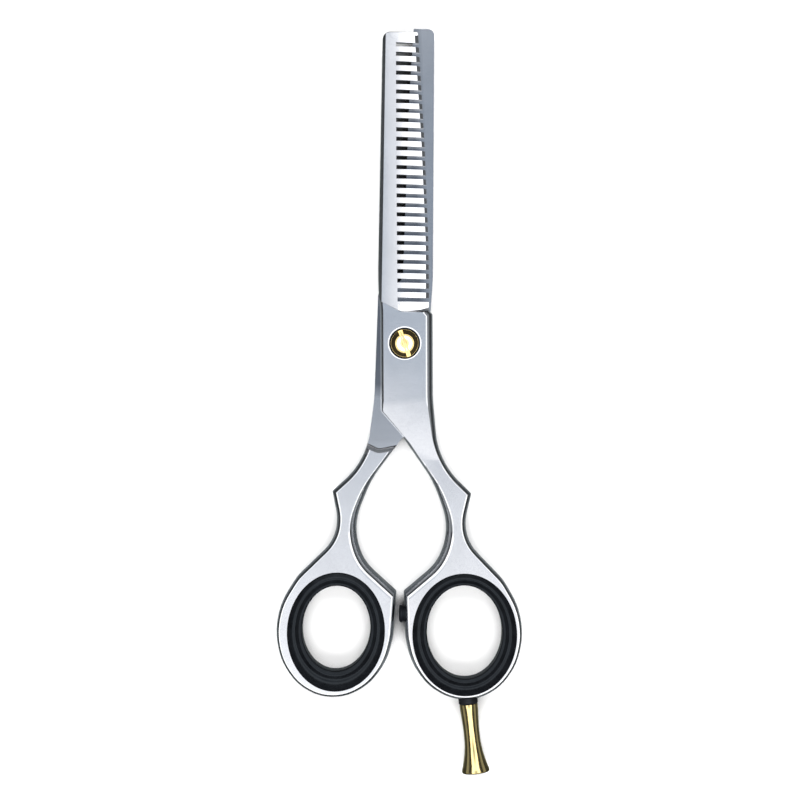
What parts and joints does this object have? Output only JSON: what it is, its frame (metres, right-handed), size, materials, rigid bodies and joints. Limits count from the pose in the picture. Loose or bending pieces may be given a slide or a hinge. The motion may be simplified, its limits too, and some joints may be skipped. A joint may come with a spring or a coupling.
{
  "type": "thinning shears",
  "caption": "Salon thinning shears: toothed blade and plain blade half-lapped on a slotted screw pivot, rubber-lined finger rings, bumper and screw-in finger rest.",
  "frame": {"origin": "where the pivot axis meets the surface the shears lie on", "axes": "+Z along the pivot axis, up from that surface to the screw's head; +Y along the shears to the blade tips; +X to the side of the comb half's handle"},
  "size_m": [0.0512, 0.1548, 0.006],
  "materials": {
    "comb_steel": "satin flats with polished teeth and edges",
    "plain_steel": "satin flats with polished edges",
    "ring_rubber": "soft black rubber",
    "bumper_rubber": "soft black rubber",
    "gold_plate": "polished gold plating",
    "cup_polymer": "black polymer",
    "spring_steel": "spring steel",
    "nylon": "natural nylon",
    "nut_steel": "turned steel",
    "rest_gold": "polished gold plating",
    "stud_steel": "plain steel thread",
    "washer_rubber": "black rubber"
  },
  "bodies": {
    "plain": {"plain_half": "plain_steel", "plain_ring_insert": "ring_rubber", "pivot_nut": "nut_steel", "glide_washer": "nylon"},
    "comb": {"comb_half": "comb_steel", "comb_ring_insert": "ring_rubber", "pivot_bushing": "nylon", "screw_cup": "cup_polymer", "bumper": "bumper_rubber"},
    "screw_travel": {"spring_washer": "spring_steel"},
    "screw": {"pivot_screw": "gold_plate"},
    "rest_travel": {"rest_washer": "washer_rubber"},
    "rest": {"finger_rest": "rest_gold", "finger_rest_stud": "stud_steel"}
  },
  "joints": [
    {"name": "blade_pivot", "type": "hinge", "parent": "plain", "child": "comb", "pos_m": [0, 0, 0.003], "axis": [0, 0, 1], "range_deg": [-0.69, 60]},
    {"name": "screw_feed", "type": "slide", "parent": "plain", "child": "screw_travel", "axis": [0, 0, 1], "range_m": [-0.00008, 0.00025]},
    {"name": "screw_turn", "type": "hinge", "parent": "screw_travel", "child": "screw", "pos_m": [0, 0, 0.005], "axis": [0, 0, 1], "range_deg": [-58, 181]},
    {"name": "rest_feed", "type": "slide", "parent": "comb", "child": "rest_travel", "axis": [0.1261, -0.992, 0], "range_m": [0, 0.0014]},
    {"name": "rest_turn", "type": "hinge", "parent": "rest_travel", "child": "rest", "pos_m": [0.01455, -0.07369, 0.003], "axis": [0.1261, -0.992, 0], "range_deg": [0, 1261]}
  ],
  "couplings": [
    {"joint": "screw_turn", "follows": "screw_feed", "rad_per_m": 12566},
    {"joint": "rest_turn", "follows": "rest_feed", "rad_per_m": 15708}
  ]
}
